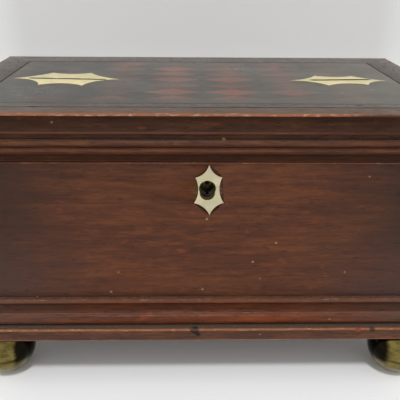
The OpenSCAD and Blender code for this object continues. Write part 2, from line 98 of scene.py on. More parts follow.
def finish_of(name, roughness, **plain):
    """A new material, its tree, and its Object coordinates. Plain inputs are set on the shader itself."""
    made = bpy.data.materials.new(name)
    made.use_nodes = True
    shader = made.node_tree.nodes["Principled BSDF"]
    shader.inputs["Roughness"].default_value = roughness
    for key, value in plain.items():
        shader.inputs[key.replace("_", " ")].default_value = value
    return made, made.node_tree, node(made.node_tree, "ShaderNodeTexCoord").outputs["Object"]


def surfaced(tree, body, gloss=None, relief=None, strength=0.3, depth=0.1):
    """Gives the shader its colour and, where they vary, its roughness and a relief of that depth in mm."""
    if relief:
        relief = node(tree, "ShaderNodeBump", {
            "Strength": strength, "Distance": depth / 1000, "Height": relief})
    for key, value in (("Base Color", body), ("Roughness", gloss), ("Normal", relief)):
        if value:
            tree.links.new(end_of(value), tree.nodes["Principled BSDF"].inputs[key])


def coated(tree, ground, *coats):
    """Colours laid over a ground in turn, each with its share."""
    for share, tone in coats:
        ground = node(tree, "ShaderNodeMix", (share, ground, tone), data_type="RGBA")
    return ground


def cloudy(tree, at, scale, detail=2.0, rough=0.5, shift=0.0):
    """Noise whose scale per metre may differ along the three axes. The value averages a half."""
    moved = node(tree, "ShaderNodeMapping", {0: at, 1: (shift, shift * 0.7, shift * 1.3), 3: scale})
    return node(tree, "ShaderNodeTexNoise", (moved, 1.0, detail, rough))


def figure(tree, at, scale, low, high, detail=2.0, rough=0.5, shift=0.0, most=1.0):
    """A figure with soft edges: noise that is nothing below one level, and the most above another."""
    noisy = cloudy(tree, at, scale, detail, rough, shift)
    return node(tree, "ShaderNodeMapRange", (noisy, low, high, 0, most), **soft)


reach, floor_end, bend, behind_box = 1.2, 0.2, 0.1, 0.008
sweep, tree, point = finish_of("painted board, matt", 0.9, Specular_IOR_Level=0.1)
x, y, _ = node(tree, "ShaderNodeSeparateXYZ", (point,)).outputs
# painted light: the wall's colour is darker behind the box and paler to the sides
aside = node(tree, "ShaderNodeMath", (node(tree, "ShaderNodeMath", (x, behind_box), operation="SUBTRACT"),),
             operation="ABSOLUTE")
wall = coated(tree, "CDCCCB", (node(tree, "ShaderNodeMapRange", (aside, 0.165, 0.195), **soft), "D9DAD8"))
ground = coated(tree, "F7F9FB", (figure(tree, point, (9, 9, 9), 0.2, 0.8), "FAFBFD"))
surfaced(tree, coated(tree, ground, (node(tree, "ShaderNodeMapRange", (y, 0.16, 0.24), **soft), wall)))
# the sweep is open from behind, so that the box can be seen from there
one_sided = node(tree, "ShaderNodeMixShader", (
    node(tree, "ShaderNodeNewGeometry").outputs["Backfacing"], tree.nodes["Principled BSDF"],
    node(tree, "ShaderNodeBsdfTransparent")))
tree.links.new(one_sided.outputs[0], tree.nodes["Material Output"].inputs["Surface"])

profile = [(-reach, 0), (floor_end, 0)] + [
    (floor_end + bend * math.sin(math.radians(a)), bend - bend * math.cos(math.radians(a)))
    for a in range(10, 91, 10)] + [(floor_end + bend, reach)]
board = bpy.data.meshes.new("sweep")
board.from_pydata([(x, y, z) for x in (-reach, reach) for y, z in profile], [],
                  [(i, i + len(profile), i + len(profile) + 1, i + 1) for i in range(len(profile) - 1)])
board.materials.append(sweep)
for face in board.polygons:
    face.use_smooth = True
backdrop = bpy.data.objects.new("sweep", board)
scene.collection.objects.link(backdrop)

world = bpy.data.worlds.new("light tent")
scene.world = world
world.use_nodes = True
tent = world.node_tree.nodes["Background"]
tent.inputs["Color"].default_value, tent.inputs["Strength"].default_value = colour("F4F4F2"), 0.9
lamp = bpy.data.lights.new("lamp above", "SUN")
lamp.energy, lamp.angle = 1.22, math.radians(7)
lamp_object = bpy.data.objects.new("lamp above", lamp)
lamp_object.rotation_euler = (math.radians(28.5), 0, 0)
scene.collection.objects.link(lamp_object)

# ---- Mahogany: Honduras wood of about 1810, planed, stained by age and French polished, then waxed.
# The eye gets dark pores as short dashes, a soft ribbon of red and brown, and orange where it is rubbed.


def mahogany(name, along, dark, mid, glow, rough=0.42, sheen_level=0.2, bare=("74442A", "A67A5C"), marks=(),
             ends=None, dust=0.0, rim=None):
    """Polished mahogany with its grain along one axis. marks are (x, y, z, radius, colour) in metres. ends is
    the share of a painted grey haze of reflected light far out, with its colours low and high, and dust the
    share of dirt on ledges. rim is the half width, middle and half depth of a field that the wood frames with
    a dirty joint."""
    made, tree, point = finish_of(name, rough, IOR=1.48, Specular_IOR_Level=sheen_level)
    x, y, z = node(tree, "ShaderNodeSeparateXYZ", (point,)).outputs

    def way(length, width):
        """Scale of a pattern this long along the grain and this wide across it, in mm."""
        return [1000 / (length if axis == along else width) for axis in "XYZ"]

    body = coated(tree, dark, (figure(tree, point, way(50, 6), 0.3, 0.7, 3, 0.6), mid),
                  (figure(tree, point, way(13, 1.8), 0.4, 0.75, 3, 0.65, 3.1, 0.6), glow),
                  (figure(tree, point, way(9, 4.5), 0.6, 0.76, 3, 0.6, 7.7, 0.6),
                   coated(tree, glow, (0.45, "8A3820"))),
                  (figure(tree, point, way(24, 1.2), 0.5, 0.75, 2, 0.5, 9.3, 0.4),
                   coated(tree, dark, (0.5, "140A07"))))
    if ends:
        # towards the ends the colour is painted greyer, a painted haze of reflected light, and on the front
        # it is paler low down, near the pale floor
        cloud = node(tree, "ShaderNodeMath", (
            cloudy(tree, point, (40, 40, 70), 3, 0.55, 1.9), 0.04,
            node(tree, "ShaderNodeMath", (x,), operation="ABSOLUTE")), operation="MULTIPLY_ADD")
        grey = coated(tree, ends[1], (node(tree, "ShaderNodeMapRange", (z, 0.05, 0.085), **soft), ends[2]))
        body = coated(tree, body, (
            node(tree, "ShaderNodeMapRange", (cloud, 0.05, 0.115, 0, ends[0]), **soft), grey))
    # pores 0.2 mm wide are drawn 0.45 mm wide and 4 mm long, so that they show
    pore = figure(tree, point, way(4.2, 0.45), 0.58, 0.7, 1, 0.5, 5.3)
    body = coated(tree, body, (node(tree, "ShaderNodeMath", (pore, 0.4), operation="MULTIPLY"), "22130C"))
    # pale nicks and specks of plaster or whitewash, about 0.5 mm, one in every few centimetres
    cells = node(tree, "ShaderNodeTexVoronoi", {"Vector": point, "Scale": 200})
    chance = node(tree, "ShaderNodeSeparateColor", (cells.outputs["Color"],))
    size = node(tree, "ShaderNodeMapRange", (chance, 0.72, 0.9, 0, 0.085), **soft)
    speck = node(tree, "ShaderNodeMath", (cells.outputs["Distance"], size), operation="LESS_THAN")
    body = coated(tree, body, (node(tree, "ShaderNodeMath", (speck, 0.4), operation="MULTIPLY"), "A8856A"))
    # the hollows are darker and dull: dirt and old wax where the cloth doesn't reach, and painted shade
    arris = node(tree, "ShaderNodeAttribute", attribute_name="arris").outputs["Fac"]
    body = coated(tree, body, (
        node(tree, "ShaderNodeMapRange", (arris, -0.1, -1.0, 0, 0.75), **soft), "24130A"))
    dull = node(tree, "ShaderNodeMapRange", (arris, -0.3, -0.9, sheen_level, 0.3 * sheen_level), **soft)
    tree.links.new(dull.outputs[0], tree.nodes["Principled BSDF"].inputs["Specular IOR Level"])
    rougher = [(pore, 0.25)]
    if rim:
        # the joint round the field is a dark line 0.7 mm wide; the front has a knife line nearer its edge as
        # well, and the strip before that line is paler and drier
        half_wide, middle, half_deep = rim
        knife_y, strip_y = -0.051, (-0.0512, -0.0508)
        wander = cloudy(tree, point, (70, 70, 70), 3, 0.7, 6.1)
        from_middle = node(tree, "ShaderNodeVectorMath", (
            node(tree, "ShaderNodeVectorMath", (point, (0, middle, 0)), operation="SUBTRACT"),),
            operation="ABSOLUTE")
        out_x, out_y, _ = node(tree, "ShaderNodeSeparateXYZ", (from_middle,)).outputs
        past = node(tree, "ShaderNodeMath", (
            node(tree, "ShaderNodeMath", (out_x, half_wide), operation="SUBTRACT"),
            node(tree, "ShaderNodeMath", (out_y, half_deep), operation="SUBTRACT")), operation="MAXIMUM")
        past = node(tree, "ShaderNodeMath", (wander, 0.0008, past), operation="MULTIPLY_ADD")
        fainter_in_front = node(tree, "ShaderNodeMapRange", (y, -0.0455, -0.0425, 0.3, 1), **soft)
        joint = node(tree, "ShaderNodeMapRange", (past, 0.0007, 0.0013, 0.95, 0), **soft)
        joint = node(tree, "ShaderNodeMath", (joint, fainter_in_front), operation="MULTIPLY")
        inner = node(tree, "ShaderNodeMapRange", (y, *strip_y), **soft)
        body = coated(tree, coated(tree, body, (0.7, "5E4232")),
                      (node(tree, "ShaderNodeMath", (inner, 0.7), operation="MULTIPLY"), body))
        knife = node(tree, "ShaderNodeMath", (
            node(tree, "ShaderNodeMath", (y, knife_y), operation="SUBTRACT"),), operation="ABSOLUTE")
        knife = node(tree, "ShaderNodeMath", (wander, 0.0009, knife), operation="MULTIPLY_ADD")
        knife = node(tree, "ShaderNodeMapRange", (knife, 0.0006, 0.0010, 0.9, 0), **soft)
        joint = node(tree, "ShaderNodeMath", (joint, knife), operation="MAXIMUM")
        body = coated(tree, body, (joint, "0A0806"))
        rougher += [(joint, 1.0), (node(tree, "ShaderNodeMath", (1.0, inner), operation="SUBTRACT"), 0.1)]
    if dust:
        facing = node(tree, "ShaderNodeAttribute", attribute_name="facing").outputs["Fac"]
        fine = figure(tree, point, (1500, 1500, 1500), 0.35, 0.75, 2, 0.6, 2.6)
        body = coated(tree, body, (node(tree, "ShaderNodeMapRange", (facing, 0.8, 0.98, 0, dust), **soft),
                                   coated(tree, "443A32", (fine, "6C6056"))))
    spared = []
    edge = cloudy(tree, point, way(4, 1.2), 3, 0.6)
    for *place, radius, tone in marks:
        away = node(tree, "ShaderNodeVectorMath", (point, place), operation="DISTANCE")
        ragged = node(tree, "ShaderNodeMath", (edge, radius * 1.6, away), operation="MULTIPLY_ADD")
        body = coated(tree, body, (
            node(tree, "ShaderNodeMapRange", (ragged, radius * 1.4, radius * 1.9, 0.92, 0), **soft), tone))
        spared.append(node(tree, "ShaderNodeMapRange", (away, radius * 0.6, radius * 1.2), **soft))
    if ends:
        spared.append(node(tree, "ShaderNodeMapRange", (cloud, 0.085, 0.115, 1, 0.35), **soft))
    # a shade paler where the cloth passes often, and on the lid's lip as a painted highlight; arrises rubbed
    # through to bare orange wood, with bruises
    body = coated(tree, body, (
        node(tree, "ShaderNodeMapRange", (arris, 0.1, 0.35, 0, 0.4), **soft), "6A4638"))
    uneven = cloudy(tree, point, way(12, 1.5), 4, 0.65, 2.2)
    rubbed = node(tree, "ShaderNodeMapRange", (
        node(tree, "ShaderNodeMath", (uneven, 0.9, arris), operation="MULTIPLY_ADD"), 0.85, 1.25), **soft)
    for kept in spared:
        rubbed = node(tree, "ShaderNodeMath", (rubbed, kept), operation="MULTIPLY")
    bruise = figure(tree, point, way(3.5, 0.8), 0.5, 0.72, 3, 0.7, 8.1)
    body = coated(tree, body, (rubbed, coated(tree, bare[0], (bruise, bare[1]))))
    # the hand leaves the polish uneven; pores, joints and bare wood are rougher than the rest
    roughness = node(tree, "ShaderNodeMath", (
        cloudy(tree, point, (60, 60, 60), 3, 0.6, 4.4), 0.22, rough - 0.11), operation="MULTIPLY_ADD")
    for where, more in [(rubbed, 0.2)] + rougher:
        roughness = node(tree, "ShaderNodeMath", (where, more, roughness), operation="MULTIPLY_ADD",
                         use_clamp=True)
    height = node(tree, "ShaderNodeMath", (
        cloudy(tree, point, way(20, 4), 2, 0.5, 6.6), 0.6,
        node(tree, "ShaderNodeMath", (pore, -0.35), operation="MULTIPLY")), operation="MULTIPLY_ADD")
    surfaced(tree, body, roughness, height, 0.35, 0.25)
    return made


# ---- Plinth and bottom: the plinth is a flat board of mahogany that stands out all round but at the back.
# Its upper arris has been rubbed round, with a black knot and an old red repair in it. The bottom is pine.


def in_place_of(name, data, body, finish=None, crisp=32, axis=2):
    """A mesh as the finished piece in place of a CAD node. Edges sharper than crisp degrees stay crisp. The
    attribute that the dust on ledges and the painted shade of the bone's sawn walls read is how far each
    corner's normal lies along the axis."""
    for face in data.polygons:
        face.use_smooth = True
    data.set_sharp_from_angle(angle=math.radians(crisp))
    data.attributes.new("facing", "FLOAT", "CORNER").data.foreach_set(
        "value", [normal.vector[axis] for normal in data.corner_normals])
    if finish:
        data.materials.append(finish)
    piece = bpy.data.objects.new(name.replace("_", "."), data)
    scene.collection.objects.link(piece)
    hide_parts(name)
    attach(piece, body)
    return piece


def dressed(name, body, finish, width=0.0, pick=None, steps=2, axis=2):
    """A copy of a CAD node in its place. The edges with both ends picked are eased with a plane, this wide
    in mm, and marked as arrises."""
    one_point, one_plane, corner = 2e-6, math.radians(0.6), math.radians(25)
    mesh = bmesh.new()
    mesh.from_mesh(cad[name].data)
    bmesh.ops.remove_doubles(mesh, verts=mesh.verts, dist=one_point)
    bmesh.ops.dissolve_limit(mesh, angle_limit=one_plane, verts=mesh.verts, edges=mesh.edges)
    bmesh.ops.recalc_face_normals(mesh, faces=mesh.faces)
    worn = mesh.verts.layers.float.new("arris")
    if width:
        chosen = [e for e in mesh.edges if len(e.link_faces) == 2 and e.calc_face_angle(0) > corner
                  and pick(e.verts[0].co * 1000) and pick(e.verts[1].co * 1000)]
        made = bmesh.ops.bevel(mesh, geom=chosen, offset=width / 1000, segments=steps, profile=0.5,
                               affect="EDGES", clamp_overlap=True)
        eased = set(made["faces"])
        for v in {v for f in eased for v in f.verts}:
            v[worn] = 1.0 if all(f in eased for f in v.link_faces) else 0.0
    data = bpy.data.meshes.new(name)
    mesh.to_mesh(data)
    mesh.free()
    return in_place_of(name, data, body, finish, axis=axis)


def given(finish, *names):
    """Gives CAD nodes whose shape is right their finish."""
    for name in names:
        for slot in cad[name].material_slots:
            slot.material = finish


front_y, back_y, half_w, plinth_top = -60.9, 60.1, 105.0, 30.4
near = 0.1  # mm within which a point counts as on a face


def plinth_edge(p):
    """The plinth's upper arris, but for the back, and its two upright arrises in front."""
    in_front, at_side = p.y < front_y + near, abs(p.x) > half_w - near
    return p.z > plinth_top - near and (in_front or at_side) or at_side and in_front


# marks: a knot of two parts near the middle, and a smaller one to the right with the repair beside it
plinth_wood = mahogany("mahogany plinth, worn and knotty", "X", "3E271D", "543425", "6A4026", dust=0.85,
                       bare=("8A5434", "B4866A"), marks=[
                           (x, front_y / 1000, z, radius, tone) for x, z, radius, tone in (
                               (-0.0034, 0.0300, 0.0022, "0C0A08"), (-0.0020, 0.0280, 0.0013, "14100C"),
                               (0.0733, 0.0300, 0.0014, "1A1410"), (0.0672, 0.0298, 0.0014, "8E3022"))])
dressed("base_board", "carcase", plinth_wood, 1.0, plinth_edge, 3)

pine, tree, point = finish_of("pine, sawn and dusty", 0.75)
rings = figure(tree, point, (12, 420, 420), 0.35, 0.65, 3)
surfaced(tree, coated(tree, "8A6844", (rings, "A98455")), None, rings, 0.4, 0.3)
given(pine, "bottom_board")

# ---- Carcase: four mitred boards of mahogany, 9.5 mm thick, and the partition in its two grooves.
# The front's grain runs level; its top arris is taken off along the joint of the lid.
board_front, board_side, carcase_top, stop_bevel = -55.3, 99.4, 104.45, 59.0
arris_in, arris_down = 0.7, 0.95  # how far in and down from the outer corner the arris can lie, in mm


def top_edge(p):
    """The outer arris at the top of the front and the sides, up to the stop bevel at the back."""
    outside = p.y < board_front + arris_in or abs(p.x) > board_side - arris_in
    return outside and p.z > carcase_top - arris_down and p.y < stop_bevel


# marks: the wall of the keyhole, seen through the escutcheon, and pale chips
front_wood = mahogany("mahogany front, French polished", "X", "472517", "58301A", "704020",
                      ends=(0.95, "432D26", "2E1D15"), marks=[(0.0014, -0.0530, 0.0915, 0.0060, "645438")] + [
                          (x, board_front / 1000, z, radius, tone) for x, z, radius, tone in (
                              (0.0208, 0.0602, 0.0006, "8E765E"), (0.0299, 0.0691, 0.0005, "8E765E"),
                              (0.0014, 0.0801, 0.0006, "8E765E"), (0.0000, 0.0471, 0.0006, "84664E"),
                              (-0.0388, 0.0460, 0.0006, "84664E"))])
side_wood = mahogany("mahogany sides, French polished", "Y", "44261A", "5A3320", "704224")
for name, wood, slot in (("front_board", front_wood, "mahogany_front"),
                         ("left_board", side_wood, "mahogany_carcase"),
                         ("right_board", side_wood, "mahogany_carcase")):
    dressed(name, "carcase", wood, 0.5, top_edge)
back_wood = mahogany("mahogany back, oiled", "X", "3C2418", "523020", "643C24", rough=0.5)
given(back_wood, "back_board", "partition")

# ---- Mouldings: thin strips of mahogany run with a scratch stock, glued on and mitred at the front corners.
# Each run is its section taken along its length; the ends are cut where the next run's section meets them.


def run_tree():
    """Geometry nodes of a moulding run: a section, given as a closed wire of (out, height), along a line."""
    tree = bpy.data.node_groups.new("moulding run", "GeometryNodeTree")
    for name, kind in (("Section", "Object"), ("Start", "Float"), ("Start Mitre", "Float"), ("End", "Float"),
                       ("End Mitre", "Float"), ("Place", "Vector"), ("Turn", "Float"),
                       ("Unevenness", "Float"), ("Seed", "Float"), ("Pieces", "Int"), ("Wood", "Material")):
        tree.interface.new_socket(name, in_out="INPUT", socket_type="NodeSocket" + kind)
    tree.interface.new_socket("Geometry", in_out="OUTPUT", socket_type="NodeSocketGeometry")
    size = node(tree, "NodeGroupInput").outputs
    section = node(tree, "GeometryNodeObjectInfo", {"Object": size["Section"]})
    wire = node(tree, "GeometryNodeMeshToCurve", {"Mesh": section.outputs["Geometry"]})
    line = node(tree, "GeometryNodeCurvePrimitiveLine", {"Start": (-1, 0, 0), "End": (1, 0, 0)})
    steps = node(tree, "GeometryNodeResampleCurve", {"Curve": line, "Count": size["Pieces"]})
    swept = node(tree, "GeometryNodeCurveToMesh", {"Curve": steps, "Profile Curve": wire, "Fill Caps": True})
    # the line runs from -1 to 1; each point of the section ends where its own mitre cuts it
    x, y, z = node(tree, "ShaderNodeSeparateXYZ", (node(tree, "GeometryNodeInputPosition"),)).outputs
    out = node(tree, "ShaderNodeMath", (y, -1.0), operation="MULTIPLY")
    start, end = [
        node(tree, "ShaderNodeMath", (out, size[side + " Mitre"], size[side]), operation="MULTIPLY_ADD")
        for side in ("Start", "End")]
    start = node(tree, "ShaderNodeMath", (start, -1.0), operation="MULTIPLY")
    along = node(tree, "ShaderNodeMapRange", (x, -1.0, 1.0, start, end))
    height = node(tree, "ShaderNodeMath", (z, -1.0), operation="MULTIPLY")
    place = node(tree, "ShaderNodeCombineXYZ", (along, y, height))
    # a scratch stock wanders a little in and out
    wave = node(tree, "ShaderNodeTexNoise", (place, size["Seed"], 60.0, 2.0), noise_dimensions="4D")
    off = node(tree, "ShaderNodeMath", (wave, size["Unevenness"]), operation="MULTIPLY")
    worked = node(tree, "ShaderNodeVectorMath", (place, node(tree, "ShaderNodeCombineXYZ", {1: off})),
                  operation="ADD")
    cut = node(tree, "GeometryNodeSetPosition", {"Geometry": swept, "Position": worked})
    stood = node(tree, "GeometryNodeTransform", {
        "Geometry": cut, "Translation": size["Place"],
        "Rotation": node(tree, "ShaderNodeCombineXYZ", {2: size["Turn"]})})
    whole = node(tree, "GeometryNodeRealizeInstances", (stood,))
    node(tree, "NodeGroupOutput", {0: node(tree, "GeometryNodeSetMaterial",
                                           {"Geometry": whole, "Material": size["Wood"]})})
    return tree


runs = run_tree()


def section_wire(name, points):
    """A closed wire of (out, height, arris), sizes in mm: a tool, which isn't in the scene. arris is 1 where
    the wood is rubbed bare, 0.3 where it is a shade paler, which on the lid's lip is a painted highlight, and
    down to -1 in a hollow made darker with dirt and painted shade."""
    mesh = bpy.data.meshes.new(name)
    mesh.from_pydata([(0.001 * u, 0.001 * z, 0) for u, z, _ in points], [],
                     [(i, (i + 1) % len(points)) for i in range(len(points))])
    mesh.attributes.new("arris", "FLOAT", "POINT").data.foreach_set("value", [worn for _, _, worn in points])
    return bpy.data.objects.new(name, mesh)


def arc(out, height, radius, start, end, steps, worn=0.0):
    """Points of a section on a circle, from one angle to another in degrees."""
    angles = [math.radians(start + (end - start) * i / steps) for i in range(steps + 1)]
    return [(out + radius * math.cos(a), height + radius * math.sin(a), worn) for a in angles]


def moulding_run(name, body, wire, side, finish, back=back_y, back_mitre=0.0, seed=0.0):
    """One run on the front, left or right, in place of its CAD node."""
    at_back, at_front = (back / 1000, back_mitre), (-board_front / 1000, 1.0)
    at_side = board_side / 1000
    start, end, place, turned = {
        "front": ((at_side, 1.0), (at_side, 1.0), (0, board_front / 1000, 0), 0.0),
        "left": (at_back, at_front, (-at_side, 0, 0), -math.pi / 2),
        "right": (at_front, at_back, (at_side, 0, 0), math.pi / 2)}[side]
    sizes = {"Section": wire, "Start": start[0], "Start Mitre": start[1], "End": end[0], "End Mitre": end[1],
             "Place": place, "Turn": turned, "Unevenness": 0.00012, "Seed": seed, "Pieces": 41,
             "Wood": finish}
    stock = bpy.data.objects.new("stock", bpy.data.meshes.new("stock"))
    scene.collection.objects.link(stock)
    modifier = stock.modifiers.new("run", "NODES")
    modifier.node_group = runs
    for item in runs.interface.items_tree:
        if item.in_out == "INPUT":
            modifier[item.identifier] = sizes[item.name]
    bpy.context.view_layer.update()
    data = bpy.data.meshes.new_from_object(stock.evaluated_get(bpy.context.evaluated_depsgraph_get()))
    bpy.data.objects.remove(stock)
    mesh = bmesh.new()
    mesh.from_mesh(data)
    bmesh.ops.recalc_face_normals(mesh, faces=mesh.faces)
    mesh.to_mesh(data)
    mesh.free()
    return in_place_of(name, data, body)


moulding_tones, base_tones = ("42251A", "5A3320", "764324"), ("4C2413", "673114", "88441A")
base_bare = ("603823", "8A6046")
ledge_dust = 0.75
# marks: two chips of the lid's upper bead
moulding_x = mahogany("mahogany moulding, front, scraped and polished", "X", *moulding_tones, dust=ledge_dust,
                      marks=((0.0071, -0.0589, 0.1143, 0.0009, "A88C64"),
                             (-0.0115, -0.0589, 0.1130, 0.0007, "8A6C50")))
moulding_y = mahogany("mahogany moulding, side, scraped and polished", "Y", *moulding_tones, dust=ledge_dust)
base_x = mahogany("mahogany base moulding, front, scraped and polished", "X", *base_tones, dust=ledge_dust,
                  bare=base_bare, ends=(0.7, "4A3A32", "4A3A32"))
base_y = mahogany("mahogany base moulding, side, scraped and polished", "Y", *base_tones, dust=ledge_dust,
                  bare=base_bare)
# from the plinth up: a bead, a small fillet, a cove made darker with dirt and painted shade, and a fillet
# with a rubbed arris
base_top = 43.4
base_wire = section_wire("base moulding section", [
    (0, plinth_top, 0), (1.6, plinth_top, 0), (1.6, 30.8, 0)] + arc(0.8, 33.5, 2.7, -72, 56, 16) + [
    (2.3, 35.78, 0.2), (2.3, 36.35, 0.5), (2.22, 36.6, 0.9)] + arc(3.6, 39.15, 2.8, 238, 124, 12, -0.65) + [
    (2.22, 41.65, 0.1), (2.3, 41.8, 0.3), (2.3, 42.85, 0.6), (2.22, 43.15, 1.0), (2.0, 43.36, 1.0),
    (1.6, base_top, 0.4), (1.2, base_top, 0), (0, base_top, 0)])
for side, finish, seed in (("front", base_x, 0.0), ("left", base_y, 3.0), ("right", base_y, 6.0)):
    moulding_run("base_moulding_" + side, "carcase", base_wire, side, finish, seed=seed)

# ---- Lid: mitred border with its moulded edge, on the mitred rim, with two beads and a hollow under it.
# The border's top arris is where the lid is gripped, and it has lost its polish along its whole length.
lid_top, border_under, rim_z, border_width, overhang = 124.6, 117.0, 104.75, 16, 5.6
lid_bare = ("8C5A40", "C29A82")
field = [size / 1000 for size in (half_w - border_width, (front_y + back_y) / 2,
                                  (back_y - front_y) / 2 - border_width)]
hazy = {"rough": 0.3, "sheen_level": 0.29, "bare": lid_bare, "rim": field}
lid_x = mahogany("mahogany lid border, front and back, hazy polish", "X",
                 "28241B", "352B20", "443626", **hazy)
lid_y = mahogany("mahogany lid border, sides, hazy polish", "Y", "28231C", "342C22", "42372A", **hazy)
edge_x, edge_y = [
    mahogany(f"mahogany lid edge, {place}, dull", along, "2E1B12", "3C2518", "4E301E",
             rough=0.6, sheen_level=0.1, bare=lid_bare) for place, along in (("front", "X"), ("sides", "Y"))]
# from the tongue under the panel: a lip painted a shade paler, a painted highlight, a cove, and a fillet that
# is rubbed bare at the top
edge_wire = section_wire("lid edge section", [
    (-10.4, 120.3, 0), (-6.4, 120.3, 0), (-6.4, border_under, 0), (5.4, border_under, 0), (5.56, 117.1, 0.3),
    (5.6, 117.3, 0.35), (5.56, 117.62, 0.35), (5.4, 117.78, 0.3)] + arc(7.8, 120.85, 3.8, 229, 134, 12) + [
    (5.3, 123.6, 0.2), (5.45, 123.85, 0.8), (5.44, 124.15, 1.0), (5.25, 124.42, 1.0), (4.9, 124.57, 1.0),
    (4.4, lid_top, 0.5), (3.8, lid_top, 0), (-10.3, lid_top, 0), (-10.4, 124.55, 0)])


def edge_dulled(border, dull):
    """All but the level top of a border has lost its haze and is dull."""
    level = 0.97
    border.data.materials.append(dull)
    for face in border.data.polygons:
        if face.normal.z < level:
            face.material_index = 1


held, fades, kept_polish = 0.035, 0.03, 0.42
for side, finish, dull, seed in (("front", lid_x, edge_x, 1.0), ("left", lid_y, edge_y, 4.0),
                                 ("right", lid_y, edge_y, 7.0)):
    border = moulding_run("lid_border_" + side, "lid", edge_wire, side, finish, back_y - overhang, 1.0, seed)
    edge_dulled(border, dull)
    if side == "front":
        # the right third has been held less, and keeps more of its polish
        rubbed = border.data.attributes["arris"].data
        for v in border.data.vertices:
            rubbed[v.index].value *= 1 - kept_polish * min(max((v.co.x - held) / fades, 0), 1)


def back_edge(p):
    """The upper arris of the back border, and its ends."""
    return p.z > lid_top - near and (p.y > back_y - near or abs(p.x) > half_w - near)


edge_dulled(dressed("lid_border_back", "lid", lid_x, 0.5, back_edge), edge_x)
# a hollow under two beads, given as (out, height, radius); they stand 0.15 mm off the rim's face, so that
# they clear the carcase's sides when the lid turns. The hollow, the groove under the lid's edge and most of
# the beads are marked darker: painted shade under the lid's edge and the beads, with dirt.
clear, lower, upper = 0.15, (2.5, 110.25, 1.5), (3.85, 113.15, 1.45)
bead_wire = section_wire("lid bead section", [
    (clear, rim_z, 0), (0.4, rim_z, 0)] + arc(4.2, rim_z, 3.8, 176, 112, 10, -0.9) + [
    (2.8, 108.5, -0.6), (2.8, 108.8, -0.5)] + arc(*lower, -72, -20, 5, -0.45) + arc(*lower, -10, 50, 6) + [
    (3.2, 111.55, -0.6)] + arc(*upper, -86, -15, 6, -0.55) + arc(*upper, -5, 25, 4, -0.15) +
    arc(*upper, 35, 88, 6, -0.4) + [
    (3.4, 114.75, -0.5), (3.4, border_under, -0.7), (clear, border_under, -0.7)])
for side, finish, seed in (("front", moulding_x, 2.0), ("left", moulding_y, 5.0),
                           ("right", moulding_y, 8.0)):
    moulding_run("lid_bead_" + side, "lid", bead_wire, side, finish, seed=seed)
given(back_wood, "lid_rim_front", "lid_rim_back", "lid_panel")
given(side_wood, "lid_rim_left", "lid_rim_right")

# ---- Parquetry: lozenges of two woods, 1 mm sawn veneer, laid in columns over the panel and polished over.
# Each lozenge was cut from its own bit, so each has its own tone, and the polish over it has gone hazy.


def veneer(name, dark, light):
    """Polished veneer whose tone and lie differ from lozenge to lozenge."""
    made, tree, point = finish_of(name, 0.3, IOR=1.48, Specular_IOR_Level=0.36)
    x, y, _ = node(tree, "ShaderNodeSeparateXYZ", (point,)).outputs
    own = node(tree, "ShaderNodeAttribute", attribute_name="tile").outputs["Fac"]
    tone = node(tree, "ShaderNodeMath", (
        figure(tree, point, (25, 400, 400), 0.3, 0.7, 3, 0.55), 0.6, own), operation="MULTIPLY_ADD")
    body = coated(tree, dark, (node(tree, "ShaderNodeMapRange", (tone, 0.1, 1.4), **soft), light),
                  (figure(tree, point, (240, 2200, 2200), 0.62, 0.7, 1, most=0.5), "1A100C"))
    # the polish has gone grey over both veneers, least in the middle columns, where the lid is handled
    handled_x = 0.004
    cloud = cloudy(tree, point, (45, 160, 160), 4, 0.65, 5.0)
    aside = node(tree, "ShaderNodeMath", (
        node(tree, "ShaderNodeMath", (x, handled_x), operation="SUBTRACT"),), operation="ABSOLUTE")
    aside = node(tree, "ShaderNodeMath", (cloud, 0.05, aside), operation="MULTIPLY_ADD")
    before = node(tree, "ShaderNodeMath", (cloud, 0.012, y), operation="MULTIPLY_ADD")
    grey = node(tree, "ShaderNodeMath", (
        node(tree, "ShaderNodeMapRange", (aside, 0.05, 0.09, 0.2, 0.82), **soft),
        node(tree, "ShaderNodeMapRange", (before, -0.036, -0.024, 0.85, 0), **soft)), operation="MAXIMUM")
    to_right = node(tree, "ShaderNodeMapRange", (x, -0.09, 0.09), **soft)
    body = coated(tree, body, (grey, coated(tree, coated(tree, "1C1914", (to_right, "3C382E")),
                                            (cloud, coated(tree, "2A2620", (to_right, "544E40"))))))
    gloss = node(tree, "ShaderNodeMath", (
        cloudy(tree, point, (45, 45, 45), 4, 0.6, 2.0), 0.25, 0.18), operation="MULTIPLY_ADD")
    lie = node(tree, "ShaderNodeMath", (
        cloudy(tree, point, (50, 130, 130), 2, 0.5, 9.0), 0.8, own), operation="MULTIPLY_ADD")
    surfaced(tree, body, gloss, lie, 0.3, 0.12)
    return made


partridge = veneer("partridge wood veneer, sawn and polished", "3C2418", "7A3F2A")
rosewood = veneer("rosewood veneer, sawn and polished", "1C1C14", "302D20")
tones = random.Random(11)
for name, finish, slot in (("parquetry_red_lozenges", partridge, "red_veneer"),
                           ("parquetry_dark_lozenges", rosewood, "dark_veneer")):
    piece = dressed(name, "lid", finish)
    parent = list(range(len(piece.data.vertices)))

    def root(v):
        """The first point of the lozenge that a point belongs to."""
        while parent[v] != v:
            parent[v] = parent[parent[v]]
            v = parent[v]
        return v

    for edge in piece.data.edges:
        parent[root(edge.vertices[0])] = root(edge.vertices[1])
    tone_of = {}
    values = [tone_of.setdefault(root(v), tones.random()) for v in range(len(parent))]
    piece.data.attributes.new("tile", "FLOAT", "POINT").data.foreach_set("value", values)

